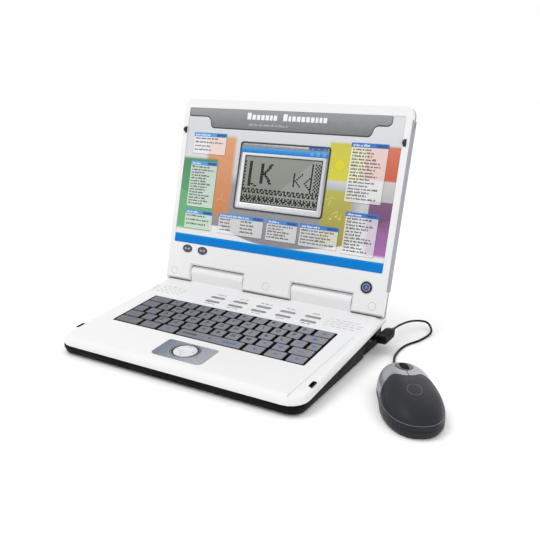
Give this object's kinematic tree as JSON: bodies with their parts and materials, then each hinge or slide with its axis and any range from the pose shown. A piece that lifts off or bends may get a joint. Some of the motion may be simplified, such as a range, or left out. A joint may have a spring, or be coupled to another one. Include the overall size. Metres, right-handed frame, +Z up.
{
  "type": "toy laptop computer",
  "caption": "Child's toy laptop: white clamshell with a wedge base, keyboard, small screen in a printed card, and a mouse on a thin cord.",
  "frame": {"origin": "middle of the underside of the box round the laptop and its mouse, on the table", "axes": "+X to the user's right, +Y away from the user, +Z up"},
  "size_m": [0.4288, 0.3048, 0.2712],
  "materials": {
    "white_shell": "glossy white moulded ABS",
    "black_tray": "satin black moulded ABS",
    "steel": "plain steel",
    "battery_wrap": "printed plastic sleeve over a cell, no marks",
    "membrane": "grey silicone keypad",
    "circuit_board": "green solder mask",
    "speaker": "dark paper cone in a plastic basket",
    "touchpad": "silver-blue painted plate",
    "nav_ring": "dark ring",
    "nav_disc": "pearl white disc",
    "port": "black socket",
    "foot": "black rubber",
    "key_cap": "satin grey caps",
    "function_button": "silver-grey",
    "card": "printed plastic sheet",
    "screen_frame": "silver-grey bevelled frame",
    "screen": "grey-green liquid crystal panel",
    "plug_cap": "white press-in caps",
    "latch": "black hook",
    "power_button": "dark ring with a blue middle",
    "volume_button": "dark oval buttons",
    "mouse_dark": "charcoal soft-touch plastic",
    "mouse_silver": "silver lacquer on plastic",
    "wheel_rubber": "black rubber tyre",
    "cord": "black PVC sleeve",
    "plug": "black moulded plug"
  },
  "bodies": {
    "base": {"base_top_shell": "white_shell", "base_bottom_shell": "black_tray", "battery_door": "black_tray", "battery_door_screw": "steel", "battery_1": "battery_wrap", "battery_2": "battery_wrap", "battery_3": "battery_wrap", "keypad_membrane": "membrane", "main_board": "circuit_board", "speaker": "speaker", "touchpad_plate": "touchpad", "nav_ring": "nav_ring", "mouse_port": "port", "foot_front_left": "foot", "foot_front_right": "foot", "foot_back_left": "foot", "foot_back_right": "foot", "hinge_pin_left": "steel", "hinge_pin_right": "steel", "mouse_cord": "cord", "mouse_plug": "plug"},
    "lid": {"lid_bezel": "white_shell", "lid_back_cover": "white_shell", "activity_card": "card", "lcd_frame": "screen_frame", "lcd_panel": "screen", "screw_plug_left": "plug_cap", "screw_plug_middle": "plug_cap", "screw_plug_right": "plug_cap", "latch_hook_left": "latch", "latch_hook_right": "latch"},
    "escape_key": {"escape_key": "key_cap"},
    "key_row_1": {"key_row_1": "key_cap"},
    "key_row_2": {"key_row_2": "key_cap"},
    "key_row_3": {"key_row_3": "key_cap"},
    "key_row_4": {"key_row_4": "key_cap"},
    "key_row_5_left": {"key_row_5_left": "key_cap"},
    "space_bar": {"space_bar": "key_cap"},
    "key_row_5_right": {"key_row_5_right": "key_cap"},
    "enter_key": {"enter_key": "key_cap"},
    "function_button_1": {"function_button_1": "function_button"},
    "function_button_2": {"function_button_2": "function_button"},
    "function_button_3": {"function_button_3": "function_button"},
    "function_button_4": {"function_button_4": "function_button"},
    "function_button_5": {"function_button_5": "function_button"},
    "function_button_6": {"function_button_6": "function_button"},
    "function_button_7": {"function_button_7": "function_button"},
    "function_button_8": {"function_button_8": "function_button"},
    "function_button_9": {"function_button_9": "function_button"},
    "function_button_10": {"function_button_10": "function_button"},
    "nav_disc": {"nav_disc": "nav_disc"},
    "power_button": {"power_button": "power_button"},
    "volume_down_button": {"volume_down_button": "volume_button"},
    "volume_up_button": {"volume_up_button": "volume_button"},
    "mouse": {"mouse_base": "mouse_dark", "mouse_cover": "mouse_dark", "mouse_board": "circuit_board"},
    "mouse_left_button": {"mouse_left_button": "mouse_silver"},
    "mouse_right_button": {"mouse_right_button": "mouse_silver"},
    "mouse_wheel": {"mouse_wheel": "wheel_rubber"}
  },
  "joints": [
    {"name": "lid_hinge", "type": "hinge", "parent": "base", "child": "lid", "pos_m": [-0.0594, 0.08012, 0.04713], "axis": [1, 0, 0], "range_deg": [-26, 108]},
    {"name": "escape_key_press", "type": "slide", "parent": "base", "child": "escape_key", "axis": [0, 0.0698, -0.9976], "range_m": [0, 0.0018], "stiffness_N_per_m": 250, "springref_m": -0.0012},
    {"name": "key_row_1_press", "type": "slide", "parent": "base", "child": "key_row_1", "axis": [0, 0.0698, -0.9976], "range_m": [0, 0.0018], "stiffness_N_per_m": 400, "springref_m": -0.0012},
    {"name": "key_row_2_press", "type": "slide", "parent": "base", "child": "key_row_2", "axis": [0, 0.0698, -0.9976], "range_m": [0, 0.0018], "stiffness_N_per_m": 400, "springref_m": -0.0012},
    {"name": "key_row_3_press", "type": "slide", "parent": "base", "child": "key_row_3", "axis": [0, 0.0698, -0.9976], "range_m": [0, 0.0018], "stiffness_N_per_m": 400, "springref_m": -0.0012},
    {"name": "key_row_4_press", "type": "slide", "parent": "base", "child": "key_row_4", "axis": [0, 0.0698, -0.9976], "range_m": [0, 0.0018], "stiffness_N_per_m": 400, "springref_m": -0.0012},
    {"name": "key_row_5_left_press", "type": "slide", "parent": "base", "child": "key_row_5_left", "axis": [0, 0.0698, -0.9976], "range_m": [0, 0.0018], "stiffness_N_per_m": 400, "springref_m": -0.0012},
    {"name": "space_bar_press", "type": "slide", "parent": "base", "child": "space_bar", "axis": [0, 0.0698, -0.9976], "range_m": [0, 0.0018], "stiffness_N_per_m": 250, "springref_m": -0.0012},
    {"name": "key_row_5_right_press", "type": "slide", "parent": "base", "child": "key_row_5_right", "axis": [0, 0.0698, -0.9976], "range_m": [0, 0.0018], "stiffness_N_per_m": 400, "springref_m": -0.0012},
    {"name": "enter_key_press", "type": "slide", "parent": "base", "child": "enter_key", "axis": [0, 0.0698, -0.9976], "range_m": [0, 0.0018], "stiffness_N_per_m": 250, "springref_m": -0.0012},
    {"name": "function_button_1_press", "type": "slide", "parent": "base", "child": "function_button_1", "axis": [0, 0.0698, -0.9976], "range_m": [0, 0.001], "stiffness_N_per_m": 250, "springref_m": -0.001},
    {"name": "function_button_2_press", "type": "slide", "parent": "base", "child": "function_button_2", "axis": [0, 0.0698, -0.9976], "range_m": [0, 0.001], "stiffness_N_per_m": 250, "springref_m": -0.001},
    {"name": "function_button_3_press", "type": "slide", "parent": "base", "child": "function_button_3", "axis": [0, 0.0698, -0.9976], "range_m": [0, 0.001], "stiffness_N_per_m": 250, "springref_m": -0.001},
    {"name": "function_button_4_press", "type": "slide", "parent": "base", "child": "function_button_4", "axis": [0, 0.0698, -0.9976], "range_m": [0, 0.001], "stiffness_N_per_m": 250, "springref_m": -0.001},
    {"name": "function_button_5_press", "type": "slide", "parent": "base", "child": "function_button_5", "axis": [0, 0.0698, -0.9976], "range_m": [0, 0.001], "stiffness_N_per_m": 250, "springref_m": -0.001},
    {"name": "function_button_6_press", "type": "slide", "parent": "base", "child": "function_button_6", "axis": [0, 0.0698, -0.9976], "range_m": [0, 0.001], "stiffness_N_per_m": 250, "springref_m": -0.001},
    {"name": "function_button_7_press", "type": "slide", "parent": "base", "child": "function_button_7", "axis": [0, 0.0698, -0.9976], "range_m": [0, 0.001], "stiffness_N_per_m": 250, "springref_m": -0.001},
    {"name": "function_button_8_press", "type": "slide", "parent": "base", "child": "function_button_8", "axis": [0, 0.0698, -0.9976], "range_m": [0, 0.001], "stiffness_N_per_m": 250, "springref_m": -0.001},
    {"name": "function_button_9_press", "type": "slide", "parent": "base", "child": "function_button_9", "axis": [0, 0.0698, -0.9976], "range_m": [0, 0.001], "stiffness_N_per_m": 250, "springref_m": -0.001},
    {"name": "function_button_10_press", "type": "slide", "parent": "base", "child": "function_button_10", "axis": [0, 0.0698, -0.9976], "range_m": [0, 0.001], "stiffness_N_per_m": 250, "springref_m": -0.001},
    {"name": "nav_disc_press", "type": "slide", "parent": "base", "child": "nav_disc", "axis": [0, 0.0698, -0.9976], "range_m": [0, 0.0008], "stiffness_N_per_m": 300, "springref_m": -0.001},
    {"name": "power_button_press", "type": "slide", "parent": "lid", "child": "power_button", "axis": [0, 0.9703, -0.2419], "range_m": [0, 0.001], "stiffness_N_per_m": 250, "springref_m": -0.001},
    {"name": "volume_down_button_press", "type": "slide", "parent": "lid", "child": "volume_down_button", "axis": [0, 0.9703, -0.2419], "range_m": [0, 0.001], "stiffness_N_per_m": 250, "springref_m": -0.001},
    {"name": "volume_up_button_press", "type": "slide", "parent": "lid", "child": "volume_up_button", "axis": [0, 0.9703, -0.2419], "range_m": [0, 0.001], "stiffness_N_per_m": 250, "springref_m": -0.001},
    {"name": "mouse_slide", "type": "slide", "parent": "base", "child": "mouse", "axis": [1, 0, 0], "range_m": [0, 0.02]},
    {"name": "mouse_left_button_click", "type": "hinge", "parent": "mouse", "child": "mouse_left_button", "pos_m": [0.16801, -0.05412, 0.022], "axis": [-0.8771, -0.4802, 0], "range_deg": [0, 1.3], "stiffness_Nm_per_rad": 0.4, "springref_deg": -2.86},
    {"name": "mouse_right_button_click", "type": "hinge", "parent": "mouse", "child": "mouse_right_button", "pos_m": [0.16801, -0.05412, 0.022], "axis": [-0.8771, -0.4802, 0], "range_deg": [0, 1.3], "stiffness_Nm_per_rad": 0.4, "springref_deg": -2.86},
    {"name": "mouse_wheel_turn", "type": "hinge", "parent": "mouse", "child": "mouse_wheel", "pos_m": [0.15615, -0.03245, 0.0205], "axis": [0.8771, 0.4802, 0], "continuous": true}
  ]
}
